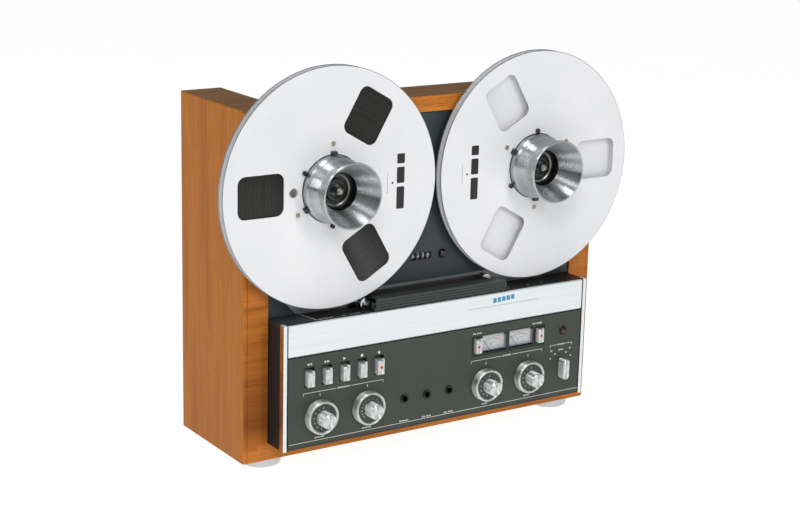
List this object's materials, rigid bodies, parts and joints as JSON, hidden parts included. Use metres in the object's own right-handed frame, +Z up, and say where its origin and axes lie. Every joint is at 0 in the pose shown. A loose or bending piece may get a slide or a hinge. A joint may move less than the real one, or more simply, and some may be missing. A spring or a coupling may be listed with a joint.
{
  "type": "reel to reel tape deck",
  "caption": "Open-reel tape deck in a wooden case, with large metal reels on flared hub adapters, a hinged head cover and a raised panel of keys, knobs and meters.",
  "frame": {"origin": "centre of the bounding box at its base: on the surface the feet stand on, under the middle of the reels' overall width and of the depth from the hub adapters' mouths to the back of the case", "axes": "+X to the deck's right as seen from the front, +Y from the front to the back, +Z up; the reels, the panel and the knobs face -Y"},
  "size_m": [0.5407, 0.205, 0.4455],
  "materials": {
    "case_wood": "oiled orange-brown timber with a straight grain",
    "foot_metal": "satin silver discs",
    "back_paint": "matt dark grey paint",
    "socket_plastic": "black mouldings",
    "chassis_metal": "plain cast metal",
    "deck_paint": "fine matt slate-blue paint",
    "housing_plastic": "matt black",
    "trim_aluminium": "brushed along its length",
    "panel_paint": "matt dark olive-grey paint",
    "lamp_plastic": "dark red dome",
    "jack_plastic": "black",
    "control_metal": "plated cans",
    "ring_aluminium": "turned, satin",
    "knob_aluminium": "turned, with a circular grain",
    "selector_aluminium": "satin",
    "key_aluminium": "satin",
    "meter_plastic": "black",
    "needle_paint": "black",
    "counter_plastic": "black",
    "button_plastic": "black",
    "reel_paint": "satin white with a bare metal rim",
    "hub_metal": "satin",
    "tape_oxide": "dark brown tape edges",
    "adapter_aluminium": "polished, turned",
    "turntable_metal": "turned",
    "capstan_steel": "ground",
    "arm_steel": "plated",
    "roller_rubber": "black",
    "roller_chrome": "bright",
    "head_metal": "polished faces",
    "cover_plastic": "dark grey-green",
    "motor_paint": "grey-painted castings",
    "brake_steel": "plated",
    "transformer_steel": "dark laminations",
    "board_plastic": "green boards",
    "screw_steel": "dark plated",
    "print_white": "printed",
    "print_black": "printed",
    "print_grey": "printed",
    "print_blue": "printed",
    "red_paint": "painted",
    "meter_card": "printed card",
    "meter_glass": "clear"
  },
  "bodies": {
    "deck": {"case_left_side": "case_wood", "case_right_side": "case_wood", "case_top": "case_wood", "case_bottom": "case_wood", "feet": "foot_metal", "back_cover": "back_paint", "connector_panel": "back_paint", "rear_sockets": "socket_plastic", "chassis_frame": "chassis_metal", "deck_plate": "deck_paint", "control_housing": "housing_plastic", "front_trim": "trim_aluminium", "control_panel": "panel_paint", "lamp_lens": "lamp_plastic", "jack_sockets": "jack_plastic", "rotary_controls": "control_metal", "meter_housing": "meter_plastic", "counter_housing": "counter_plastic", "tape_heads": "head_metal", "motors": "motor_paint", "brakes": "brake_steel", "power_supply": "transformer_steel", "circuit_boards": "board_plastic", "screws": "screw_steel"},
    "left_reel": {"left_reel_front_flange": "reel_paint", "left_reel_back_flange": "reel_paint", "left_reel_hub": "hub_metal", "tape_pack": "tape_oxide", "left_hub_adapter": "adapter_aluminium", "left_turntable": "turntable_metal"},
    "right_reel": {"right_reel_front_flange": "reel_paint", "right_reel_back_flange": "reel_paint", "right_reel_hub": "hub_metal", "right_hub_adapter": "adapter_aluminium", "right_turntable": "turntable_metal"},
    "capstan_shaft": {"capstan_shaft": "capstan_steel"},
    "pinch_arm": {"pinch_arm": "arm_steel"},
    "pinch_roller": {"pinch_roller": "roller_rubber"},
    "guide_roller": {"guide_roller": "roller_chrome"},
    "head_cover": {"head_cover": "cover_plastic"},
    "rewind_key": {"rewind_key": "key_aluminium"},
    "forward_key": {"forward_key": "key_aluminium"},
    "play_key": {"play_key": "key_aluminium"},
    "stop_key": {"stop_key": "key_aluminium"},
    "record_key": {"record_key": "key_aluminium"},
    "left_record_button": {"left_record_button": "key_aluminium"},
    "right_record_button": {"right_record_button": "key_aluminium"},
    "monitor_ring": {"monitor_ring": "ring_aluminium"},
    "mode_ring": {"mode_ring": "ring_aluminium"},
    "left_input_ring": {"left_input_ring": "ring_aluminium"},
    "right_input_ring": {"right_input_ring": "ring_aluminium"},
    "volume_knob": {"volume_knob": "knob_aluminium"},
    "balance_knob": {"balance_knob": "knob_aluminium"},
    "left_level_knob": {"left_level_knob": "knob_aluminium"},
    "right_level_knob": {"right_level_knob": "knob_aluminium"},
    "speed_selector_knob": {"speed_selector_knob": "selector_aluminium"},
    "counter_reset_button": {"counter_reset_button": "button_plastic"},
    "counter_units_drum": {"counter_units_drum": "counter_plastic"},
    "left_meter_needle": {"left_meter_needle": "needle_paint"},
    "right_meter_needle": {"right_meter_needle": "needle_paint"}
  },
  "joints": [
    {"name": "left_reel_spin", "type": "hinge", "parent": "deck", "child": "left_reel", "pos_m": [-0.137, -0.055, 0.3122], "axis": [0, 1, 0], "continuous": true},
    {"name": "right_reel_spin", "type": "hinge", "parent": "deck", "child": "right_reel", "pos_m": [0.137, -0.055, 0.3122], "axis": [0, 1, 0], "continuous": true},
    {"name": "capstan_spin", "type": "hinge", "parent": "deck", "child": "capstan_shaft", "pos_m": [0.062, -0.05, 0.1761], "axis": [0, 1, 0], "continuous": true},
    {"name": "guide_roller_spin", "type": "hinge", "parent": "deck", "child": "guide_roller", "pos_m": [-0.0935, -0.055, 0.1784], "axis": [0, 1, 0], "continuous": true},
    {"name": "pinch_arm_swing", "type": "hinge", "parent": "deck", "child": "pinch_arm", "pos_m": [0.036, -0.047, 0.1568], "axis": [0, -1, 0], "range_deg": [0, 4.1]},
    {"name": "pinch_roller_spin", "type": "hinge", "parent": "pinch_arm", "child": "pinch_roller", "pos_m": [0.062, -0.054, 0.1608], "axis": [0, 1, 0], "continuous": true},
    {"name": "head_cover_hinge", "type": "hinge", "parent": "deck", "child": "head_cover", "pos_m": [0.002, -0.07305, 0.1739], "axis": [1, 0, 0], "range_deg": [0, 90]},
    {"name": "rewind_press", "type": "slide", "parent": "deck", "child": "rewind_key", "axis": [0, 1, 0], "range_m": [0, 0.004], "stiffness_N_per_m": 250},
    {"name": "forward_press", "type": "slide", "parent": "deck", "child": "forward_key", "axis": [0, 1, 0], "range_m": [0, 0.004], "stiffness_N_per_m": 250},
    {"name": "play_press", "type": "slide", "parent": "deck", "child": "play_key", "axis": [0, 1, 0], "range_m": [0, 0.004], "stiffness_N_per_m": 250},
    {"name": "stop_press", "type": "slide", "parent": "deck", "child": "stop_key", "axis": [0, 1, 0], "range_m": [0, 0.004], "stiffness_N_per_m": 250},
    {"name": "record_press", "type": "slide", "parent": "deck", "child": "record_key", "axis": [0, 1, 0], "range_m": [0, 0.004], "stiffness_N_per_m": 250},
    {"name": "left_record_press", "type": "slide", "parent": "deck", "child": "left_record_button", "axis": [0, 1, 0], "range_m": [0, 0.003], "stiffness_N_per_m": 250},
    {"name": "right_record_press", "type": "slide", "parent": "deck", "child": "right_record_button", "axis": [0, 1, 0], "range_m": [0, 0.003], "stiffness_N_per_m": 250},
    {"name": "counter_reset_press", "type": "slide", "parent": "deck", "child": "counter_reset_button", "axis": [0, 1, 0], "range_m": [0, 0.003], "stiffness_N_per_m": 200},
    {"name": "monitor_ring_turn", "type": "hinge", "parent": "deck", "child": "monitor_ring", "pos_m": [-0.1603, -0.08, 0.064], "axis": [0, 1, 0], "range_deg": [-45, 45]},
    {"name": "mode_ring_turn", "type": "hinge", "parent": "deck", "child": "mode_ring", "pos_m": [-0.0993, -0.08, 0.064], "axis": [0, 1, 0], "range_deg": [-60, 60]},
    {"name": "left_input_ring_turn", "type": "hinge", "parent": "deck", "child": "left_input_ring", "pos_m": [0.0627, -0.08, 0.064], "axis": [0, 1, 0], "range_deg": [-60, 60]},
    {"name": "right_input_ring_turn", "type": "hinge", "parent": "deck", "child": "right_input_ring", "pos_m": [0.1237, -0.08, 0.064], "axis": [0, 1, 0], "range_deg": [-60, 60]},
    {"name": "volume_knob_turn", "type": "hinge", "parent": "deck", "child": "volume_knob", "pos_m": [-0.1603, -0.09, 0.064], "axis": [0, 1, 0], "range_deg": [0, 300]},
    {"name": "balance_knob_turn", "type": "hinge", "parent": "deck", "child": "balance_knob", "pos_m": [-0.0993, -0.09, 0.064], "axis": [0, 1, 0], "range_deg": [-150, 150]},
    {"name": "left_level_knob_turn", "type": "hinge", "parent": "deck", "child": "left_level_knob", "pos_m": [0.0627, -0.09, 0.064], "axis": [0, 1, 0], "range_deg": [0, 300]},
    {"name": "right_level_knob_turn", "type": "hinge", "parent": "deck", "child": "right_level_knob", "pos_m": [0.1237, -0.09, 0.064], "axis": [0, 1, 0], "range_deg": [0, 300]},
    {"name": "speed_selector_turn", "type": "hinge", "parent": "deck", "child": "speed_selector_knob", "pos_m": [0.1742, -0.082, 0.0664], "axis": [0, 1, 0], "range_deg": [-60, 60]},
    {"name": "left_meter_swing", "type": "hinge", "parent": "deck", "child": "left_meter_needle", "pos_m": [0.0747, -0.0734, 0.0985], "axis": [0, 1, 0], "range_deg": [0, 76], "stiffness_Nm_per_rad": 0.00002},
    {"name": "right_meter_swing", "type": "hinge", "parent": "deck", "child": "right_meter_needle", "pos_m": [0.1134, -0.0734, 0.0985], "axis": [0, 1, 0], "range_deg": [0, 76], "stiffness_Nm_per_rad": 0.00002},
    {"name": "counter_units_spin", "type": "hinge", "parent": "deck", "child": "counter_units_drum", "pos_m": [0.0027, -0.0323, 0.2175], "axis": [1, 0, 0], "continuous": true}
  ],
  "couplings": [
    {"joint": "counter_units_spin", "follows": "right_reel_spin", "ratio": -0.05}
  ]
}
